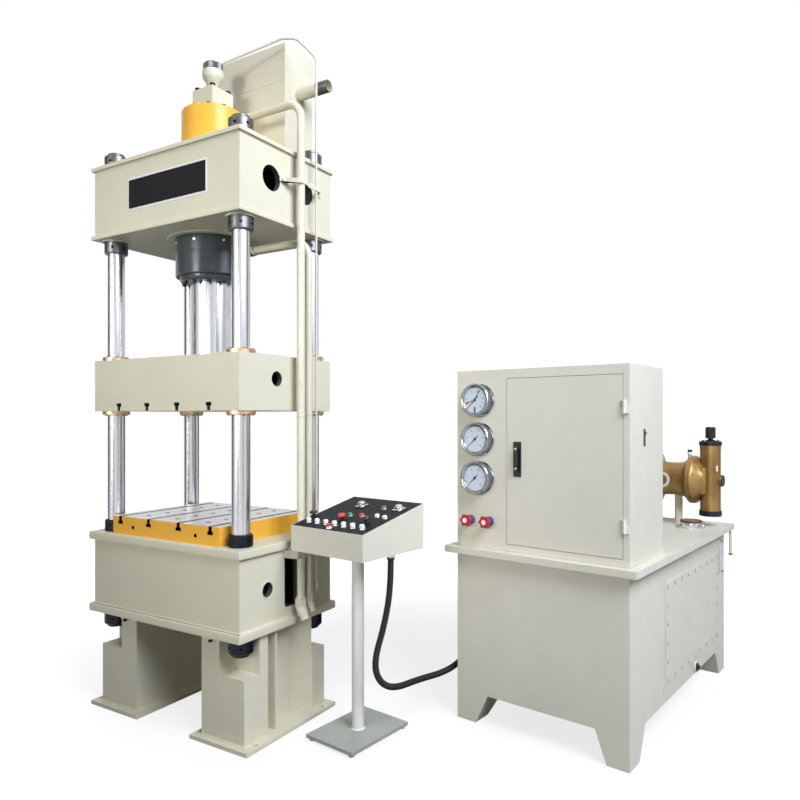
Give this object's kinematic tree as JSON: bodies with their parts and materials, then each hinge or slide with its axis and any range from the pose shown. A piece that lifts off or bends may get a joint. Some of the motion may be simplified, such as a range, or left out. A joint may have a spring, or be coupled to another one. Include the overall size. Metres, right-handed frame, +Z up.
{
  "type": "four-column hydraulic press",
  "caption": "Upright hydraulic press: slotted bed and ram plate guided on round columns, with a pedestal control console and a free-standing oil tank and pump unit.",
  "frame": {"origin": "middle of the machine's footprint, on the floor", "axes": "+Z up; -Y is the front of the press; +X is the press's pipe side, towards the console and the power unit"},
  "size_m": [2.9176, 2.5526, 3.55],
  "materials": {
    "cream_paint": "semi-gloss machine enamel",
    "yellow_paint": "semi-gloss machine enamel",
    "chrome": "hard chrome, ground",
    "dark_steel": "blackened steel",
    "black_steel": "black enamel",
    "bronze": "machined bronze",
    "seal_rubber": "moulded",
    "grey_green_paint": "semi-gloss enamel",
    "black_panel": "fine texture",
    "lamp_plastic": "translucent lens and metal frame",
    "white_cap": "gloss",
    "red_cap": "gloss",
    "black_cap": "gloss",
    "silver_knob": "turned and plated",
    "gauge_chrome": "polished",
    "needle_black": "matt",
    "valve_blue": "enamel",
    "wheel_red": "enamel",
    "pump_gold": "hammer enamel",
    "conduit_black": "corrugated"
  },
  "bodies": {
    "machine": {"left_leg": "cream_paint", "right_leg": "cream_paint", "bed": "cream_paint", "crown": "cream_paint", "gland_ring": "cream_paint", "valve_block": "cream_paint", "valve_actuator": "cream_paint", "prefill_tank": "cream_paint", "head_pipe": "cream_paint", "rod_pipe": "cream_paint", "pipe_fittings": "cream_paint", "oil_tank": "cream_paint", "tank_lid": "cream_paint", "cleanout_cover": "cream_paint", "cabinet": "cream_paint", "console_box": "cream_paint", "bolster": "yellow_paint", "cylinder_head": "yellow_paint", "cylinder_barrel": "yellow_paint", "columns": "chrome", "pilot_tube": "chrome", "crown_nuts": "dark_steel", "valve_cap": "dark_steel", "bed_nuts": "black_steel", "rod_seal": "seal_rubber", "console_stand": "grey_green_paint", "motor": "grey_green_paint", "console_panel": "black_panel", "panel_fittings": "lamp_plastic", "console_gland": "silver_knob", "cabinet_gland": "silver_knob", "gauge_cases": "gauge_chrome", "valve_bodies": "valve_blue", "pump": "pump_gold", "conduit": "conduit_black"},
    "ram": {"piston_rod": "chrome", "piston_seal": "seal_rubber", "slider": "cream_paint", "guide_bushes": "bronze"},
    "push_button_1": {"push_button_1": "white_cap"},
    "push_button_2": {"push_button_2": "white_cap"},
    "push_button_3": {"push_button_3": "white_cap"},
    "push_button_4": {"push_button_4": "white_cap"},
    "push_button_5": {"push_button_5": "white_cap"},
    "push_button_6": {"push_button_6": "white_cap"},
    "push_button_7": {"push_button_7": "white_cap"},
    "stop_button": {"stop_button": "red_cap"},
    "emergency_button": {"emergency_button": "red_cap"},
    "left_start_button": {"left_start_button": "black_cap"},
    "right_start_button": {"right_start_button": "black_cap"},
    "left_timer_knob": {"left_timer_knob": "silver_knob"},
    "right_timer_knob": {"right_timer_knob": "silver_knob"},
    "door": {"cabinet_door": "cream_paint"},
    "latch": {"door_latch": "black_steel"},
    "upper_gauge_needle": {"upper_gauge_needle": "needle_black"},
    "middle_gauge_needle": {"middle_gauge_needle": "needle_black"},
    "lower_gauge_needle": {"lower_gauge_needle": "needle_black"},
    "left_handwheel": {"left_handwheel": "wheel_red"},
    "right_handwheel": {"right_handwheel": "wheel_red"}
  },
  "joints": [
    {"name": "ram_slide", "type": "slide", "parent": "machine", "child": "ram", "axis": [0, 0, 1], "range_m": [-0.3, 0.3]},
    {"name": "push_button_1_push", "type": "slide", "parent": "machine", "child": "push_button_1", "axis": [0.0278, 0.211, -0.9771], "range_m": [0, 0.006], "stiffness_N_per_m": 800, "springref_m": -0.003},
    {"name": "push_button_2_push", "type": "slide", "parent": "machine", "child": "push_button_2", "axis": [0.0278, 0.211, -0.9771], "range_m": [0, 0.006], "stiffness_N_per_m": 800, "springref_m": -0.003},
    {"name": "push_button_3_push", "type": "slide", "parent": "machine", "child": "push_button_3", "axis": [0.0278, 0.211, -0.9771], "range_m": [0, 0.006], "stiffness_N_per_m": 800, "springref_m": -0.003},
    {"name": "push_button_4_push", "type": "slide", "parent": "machine", "child": "push_button_4", "axis": [0.0278, 0.211, -0.9771], "range_m": [0, 0.006], "stiffness_N_per_m": 800, "springref_m": -0.003},
    {"name": "push_button_5_push", "type": "slide", "parent": "machine", "child": "push_button_5", "axis": [0.0278, 0.211, -0.9771], "range_m": [0, 0.006], "stiffness_N_per_m": 800, "springref_m": -0.003},
    {"name": "push_button_6_push", "type": "slide", "parent": "machine", "child": "push_button_6", "axis": [0.0278, 0.211, -0.9771], "range_m": [0, 0.006], "stiffness_N_per_m": 800, "springref_m": -0.003},
    {"name": "push_button_7_push", "type": "slide", "parent": "machine", "child": "push_button_7", "axis": [0.0278, 0.211, -0.9771], "range_m": [0, 0.006], "stiffness_N_per_m": 800, "springref_m": -0.003},
    {"name": "stop_button_push", "type": "slide", "parent": "machine", "child": "stop_button", "axis": [0.0278, 0.211, -0.9771], "range_m": [0, 0.006], "stiffness_N_per_m": 800, "springref_m": -0.003},
    {"name": "emergency_button_push", "type": "slide", "parent": "machine", "child": "emergency_button", "axis": [0.0278, 0.211, -0.9771], "range_m": [0, 0.008], "stiffness_N_per_m": 800, "springref_m": -0.003},
    {"name": "left_start_button_push", "type": "slide", "parent": "machine", "child": "left_start_button", "axis": [0.0278, 0.211, -0.9771], "range_m": [0, 0.008], "stiffness_N_per_m": 800, "springref_m": -0.003},
    {"name": "right_start_button_push", "type": "slide", "parent": "machine", "child": "right_start_button", "axis": [0.0278, 0.211, -0.9771], "range_m": [0, 0.008], "stiffness_N_per_m": 800, "springref_m": -0.003},
    {"name": "left_timer_knob_turn", "type": "hinge", "parent": "machine", "child": "left_timer_knob", "pos_m": [-0.07462, -0.68188, 1.09622], "axis": [-0.0278, -0.211, 0.9771], "range_deg": [0, 300]},
    {"name": "right_timer_knob_turn", "type": "hinge", "parent": "machine", "child": "right_timer_knob", "pos_m": [0.16013, -0.70687, 1.0975], "axis": [-0.0278, -0.211, 0.9771], "range_deg": [0, 300]},
    {"name": "door_hinge", "type": "hinge", "parent": "machine", "child": "door", "pos_m": [1.17416, -0.4875, 1.595], "axis": [0, 0, 1], "range_deg": [0, 110]},
    {"name": "latch_turn", "type": "hinge", "parent": "door", "child": "latch", "pos_m": [0.65028, -0.42156, 1.396], "axis": [0.1305, 0.9914, 0], "range_deg": [0, 90]},
    {"name": "upper_gauge_needle_sweep", "type": "hinge", "parent": "machine", "child": "upper_gauge_needle", "pos_m": [0.43341, -0.42932, 1.635], "axis": [0.1305, 0.9914, 0], "range_deg": [0, 270], "stiffness_Nm_per_rad": 0.2},
    {"name": "middle_gauge_needle_sweep", "type": "hinge", "parent": "machine", "child": "middle_gauge_needle", "pos_m": [0.43341, -0.42932, 1.44], "axis": [0.1305, 0.9914, 0], "range_deg": [0, 270], "stiffness_Nm_per_rad": 0.2},
    {"name": "lower_gauge_needle_sweep", "type": "hinge", "parent": "machine", "child": "lower_gauge_needle", "pos_m": [0.43341, -0.42932, 1.246], "axis": [0.1305, 0.9914, 0], "range_deg": [0, 270], "stiffness_Nm_per_rad": 0.2},
    {"name": "left_handwheel_turn", "type": "hinge", "parent": "machine", "child": "left_handwheel", "pos_m": [0.38316, -0.41262, 1.03], "axis": [-0.1305, -0.9914, 0], "range_deg": [-360, 720]},
    {"name": "right_handwheel_turn", "type": "hinge", "parent": "machine", "child": "right_handwheel", "pos_m": [0.49222, -0.42697, 1.03], "axis": [-0.1305, -0.9914, 0], "range_deg": [-360, 720]}
  ]
}
